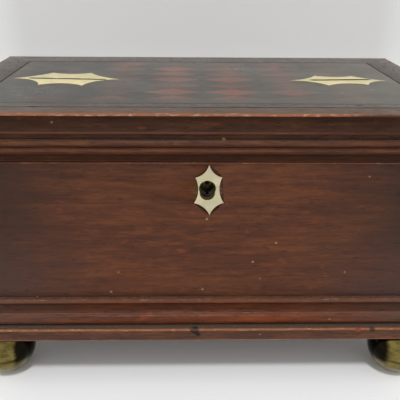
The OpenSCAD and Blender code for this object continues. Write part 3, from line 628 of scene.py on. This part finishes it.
# ---- Bone: the two slot plates and the escutcheon are sawn from ox bone, let in flush and worn proud.
# Polished bone is creamy with faint brown vessel lines, and dirt has gathered along its edges and slots.
bone, tree, point = finish_of("ox bone, sawn and polished", 0.34, IOR=1.54, Subsurface_Weight=0.12,
                              Subsurface_Scale=0.0006)
z = node(tree, "ShaderNodeSeparateXYZ", (point,)).outputs["Z"]
vessels = figure(tree, point, (90, 900, 900), 0.58, 0.74, 3, 0.6)
grime = node(tree, "ShaderNodeAttribute", attribute_name="arris").outputs["Fac"]
grime = node(tree, "ShaderNodeMath", (cloudy(tree, point, (300, 300, 300), 3, 0.6, 1.0), 0.8, grime),
             operation="MULTIPLY_ADD")
body = coated(tree, "E0D5B6", (figure(tree, point, (120, 120, 120), 0.35, 0.65, 3, 0.55, 4.0), "CCC8A0"),
              (figure(tree, point, (170, 170, 170), 0.5, 0.7, 2, 0.5, 8.0, 0.7), "CDBEA8"),
              (node(tree, "ShaderNodeMath", (vessels, 0.35), operation="MULTIPLY"), "9C8250"),
              (node(tree, "ShaderNodeMapRange", (grime, 0.75, 1.3), **soft), "8A7440"))
# coins and fingers have left a dark brown band of clotted dirt along each slot, which is given by its
# middle, turn and half length
lid_level = 0.11
above = node(tree, "ShaderNodeMapRange", (z, lid_level, lid_level + 0.002), **soft)
clots = cloudy(tree, point, (150, 400, 400), 2, 0.5, 3.0)
for slot_x, slot_y, slot_turn, half in ((-0.0610, -0.0005, -4.05, 0.0172), (0.0641, -0.0003, 3.6, 0.0140)):
    local = node(tree, "ShaderNodeMapping", (point, (slot_x, slot_y, 0), (0, 0, math.radians(slot_turn))),
                 vector_type="TEXTURE")
    along, across, _ = node(tree, "ShaderNodeSeparateXYZ", (
        node(tree, "ShaderNodeVectorMath", (local,), operation="ABSOLUTE"),)).outputs
    across = node(tree, "ShaderNodeMath", (clots, 0.0020, across), operation="MULTIPLY_ADD")
    band = node(tree, "ShaderNodeMath", (
        node(tree, "ShaderNodeMapRange", (across, 0.0019, 0.0025, 0.9, 0), **soft),
        node(tree, "ShaderNodeMapRange", (along, half, half + 0.001, 1, 0), **soft)), operation="MULTIPLY")
    body = coated(tree, body, (node(tree, "ShaderNodeMath", (band, above), operation="MULTIPLY"), "4E3C1C"))
# the escutcheon is a little greyer than the plates; the sawn walls of slots and keyhole are painted nearly
# black, painted shade inside them
on_lid = node(tree, "ShaderNodeMath", (z, lid_level), operation="GREATER_THAN")
body = node(tree, "ShaderNodeMix", (1.0, body, coated(tree, "E2E0DC", (on_lid, "FFFAE0"))),
            data_type="RGBA", blend_type="MULTIPLY")
facing = node(tree, "ShaderNodeMath", (
    node(tree, "ShaderNodeAttribute", attribute_name="facing").outputs["Fac"],), operation="ABSOLUTE")
sawn = node(tree, "ShaderNodeMapRange", (facing, 0.2, 0.5, 1, 0), **soft)
surfaced(tree, coated(tree, body, (sawn, "1E160C")), None, vessels, 0.3, 0.1)


def bone_edge(p):
    """The upper edges of the slot plates and the outer ones of the escutcheon, which stand proud."""
    return p.z > lid_top or p.z < carcase_top and p.y < board_front - near


for name, rides_on, axis in (("slot_plate_left", "lid", 2), ("slot_plate_right", "lid", 2),
                             ("escutcheon", "carcase", 1)):
    dressed(name, rides_on, bone, 0.18, bone_edge, axis=axis)

# ---- Feet: four brass balls, turned on the lathe and screwed into the plinth, dull with age and handling.
# The brass is olive and brown with small dark spots; its gloss shows the plinth above and the ground below.
brass, tree, point = finish_of("brass, cast, turned and tarnished", 0.15, Metallic=1.0)
x, _, z = node(tree, "ShaderNodeSeparateXYZ", (point,)).outputs
tarnish = figure(tree, point, (170, 170, 230), 0.35, 0.68, 4, 0.6)
# the sides that face inwards are painted nearly black, a painted reflection of the dark space under the box;
# a dark ring lies just below the middle
ring_z = 0.0112
uneven = cloudy(tree, point, (150, 150, 300), 3, 0.6, 3.0)
inward = node(tree, "ShaderNodeMath", (
    uneven, 0.002, node(tree, "ShaderNodeMath", (x,), operation="ABSOLUTE")), operation="MULTIPLY_ADD")
inner = node(tree, "ShaderNodeMath", (
    node(tree, "ShaderNodeMapRange", (inward, 0.0830, 0.0852, 1, 0), **soft),
    node(tree, "ShaderNodeMapRange", (z, 0.0075, 0.0105), **soft)), operation="MULTIPLY")
ring = node(tree, "ShaderNodeMath", (node(tree, "ShaderNodeMath", (z, ring_z), operation="SUBTRACT"),),
            operation="ABSOLUTE")
ring = node(tree, "ShaderNodeMath", (uneven, 0.0014, ring), operation="MULTIPLY_ADD")
body = coated(tree, "8A7A48", (tarnish, "5A502A"),
              (figure(tree, point, (900, 900, 900), 0.62, 0.72, 3, 0.6, 2.0, 0.5), "2A2412"),
              (node(tree, "ShaderNodeMapRange", (ring, 0.0009, 0.0018, 0.6, 0), **soft), "2E2814"),
              (inner, "1A160F"))
surfaced(tree, body, node(tree, "ShaderNodeMath", (tarnish, 0.12, 0.08), operation="MULTIPLY_ADD"),
         cloudy(tree, point, (220, 220, 220)), 0.15, 0.2)
# turned profile in mm: flat to stand on, ball, a shallow quirk at the neck, flat under the plinth, stud
ball_r, ball_z, foot_top, stud_r, stud_top = 13, 12.695, 24.4, 2, 33.2
ball = [(ball_r * math.sin(math.radians(a)), ball_z - ball_r * math.cos(math.radians(a)))
        for a in range(15, 144, 4)]
turned = [(0, 0), (2.4, 0), (2.9, 0.12)] + ball + [
    (7.35, 23.35), (6.9, 23.6), (7.0, 24.0), (6.7, foot_top), (stud_r, foot_top), (stud_r, stud_top),
    (0, stud_top)]
sole_z, neck_z, unround = 0.001, 0.023, 0.006
for name in ("foot_front_left", "foot_front_right", "foot_back_left", "foot_back_right"):
    low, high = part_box(name)
    x, y = (low.x + high.x) / 2, (low.y + high.y) / 2
    mesh = bmesh.new()
    line = [mesh.verts.new((r / 1000, 0, z / 1000)) for r, z in turned]
    for a, b in zip(line, line[1:]):
        mesh.edges.new((a, b))
    bmesh.ops.spin(mesh, geom=mesh.edges[:] + mesh.verts[:], angle=math.tau, steps=64, axis=(0, 0, 1),
                   cent=(0, 0, 0))
    bmesh.ops.remove_doubles(mesh, verts=mesh.verts, dist=1e-6)
    for v in mesh.verts:
        # a ball of this age isn't quite round, by up to 1.2 % of its radius
        if sole_z < v.co.z < neck_z:
            dented = 1 + noise.noise(v.co * 90 + Vector((x * 50, y * 50, 0)))
            v.co += Vector((v.co.x, v.co.y, 0)) * -unround * dented
    bmesh.ops.recalc_face_normals(mesh, faces=mesh.faces)
    bmesh.ops.translate(mesh, verts=mesh.verts, vec=(x, y, 0))
    data = bpy.data.meshes.new(name)
    mesh.to_mesh(data)
    mesh.free()
    in_place_of(name, data, "carcase", brass, 40)

# ---- Linings: tin-lead foil, pressed over the inside by hand, and a sheet of laid paper under the lid.
# Foil shows sharp creases in a dull grey skin; the paper has fine laid lines, and brown foxing in spots.
foil, tree, point = finish_of("tin-lead foil, beaten and pressed on", 0.42, Metallic=0.85)
pushed = node(tree, "ShaderNodeVectorMath", (
    node(tree, "ShaderNodeTexNoise", {"Vector": point, "Scale": 90.0}).outputs["Color"], (0.012,) * 3, point),
    operation="MULTIPLY_ADD")
creases = node(tree, "ShaderNodeTexVoronoi", {"Vector": pushed, "Scale": 75.0}, feature="DISTANCE_TO_EDGE")
surfaced(tree, coated(tree, "8E8F8C", (figure(tree, point, (60, 60, 60), 0.35, 0.7, 4, 0.6), "6C6A64")),
         None, node(tree, "ShaderNodeMapRange", (creases, 0.0, 0.09), **soft), 0.6, 0.6)
paper, tree, point = finish_of("laid paper, pasted and foxed", 0.85)
laid = node(tree, "ShaderNodeTexWave", {"Vector": point, "Scale": 300.0, "Distortion": 1.0}).outputs["Fac"]
surfaced(tree, coated(tree, "8C8468", (laid, "968E72"),
                      (figure(tree, point, (120, 120, 120), 0.56, 0.74, 4, 0.6, most=0.6), "6A5434")),
         None, laid, 0.2, 0.1)
given(foil, "lining_left", "lining_right")
given(paper, "lid_lining")

# ---- Lock and hinges: sheet brass, sawn, filed and lacquered, with a steel spring, let into the wood.
# Filing leaves fine straight scratches, the lacquer browner in patches. The case and pin are painted black:
# painted shade.
filed, tree, point = finish_of("sheet brass, filed and lacquered", 0.32, Metallic=1.0)
scratches = cloudy(tree, point, (150, 2600, 2600))
surfaced(tree, coated(tree, "B39A58", (figure(tree, point, (110, 110, 110), 0.4, 0.72, 4, 0.6), "7A6434")),
         node(tree, "ShaderNodeMath", (scratches, 0.3, 0.2), operation="MULTIPLY_ADD"), scratches, 0.2, 0.05)
steel, tree, point = finish_of("steel, forged and filed, a little rusty", 0.4, Metallic=1.0)
rust = figure(tree, point, (700, 700, 700), 0.5, 0.7, 4, 0.65)
surfaced(tree, coated(tree, "8A8A88", (rust, "5A3E2C")),
         node(tree, "ShaderNodeMath", (rust, 0.4, 0.3), operation="MULTIPLY_ADD"))
# painted shade: the lock case, seen through the keyhole, is painted nearly black
darkened, tree, point = finish_of("sheet brass, painted dark as shade", 0.55, Metallic=0.9)
grimy = figure(tree, point, (500, 500, 500), 0.35, 0.7, 4, 0.6, 3.0)
surfaced(tree, coated(tree, "4E463A", (grimy, "2A241C")), None, grimy, 0.3, 0.1)
# painted shade: the drill pin is painted nearly black, so that its end shows no highlight in the keyhole
old_iron, tree, point = finish_of("iron, forged and blackened", 0.6, Metallic=0.6)
surfaced(tree, coated(tree, "14110E", (figure(tree, point, (900, 900, 900), 0.4, 0.7, 3, 0.6), "241E18")))
given(filed, "lock_plate", "lock_bolt", "link_plate", "lock_screws", "link_plate_screws",
      "hinge_carcase_screws", "hinge_lid_screws",
      *(f"hinge_{part}_{side}" for part in ("carcase_leaf", "lid_leaf", "pin") for side in ("left", "right")))
given(steel, "lock_spring")
given(darkened, "lock_case")
given(old_iron, "lock_drill_pin")
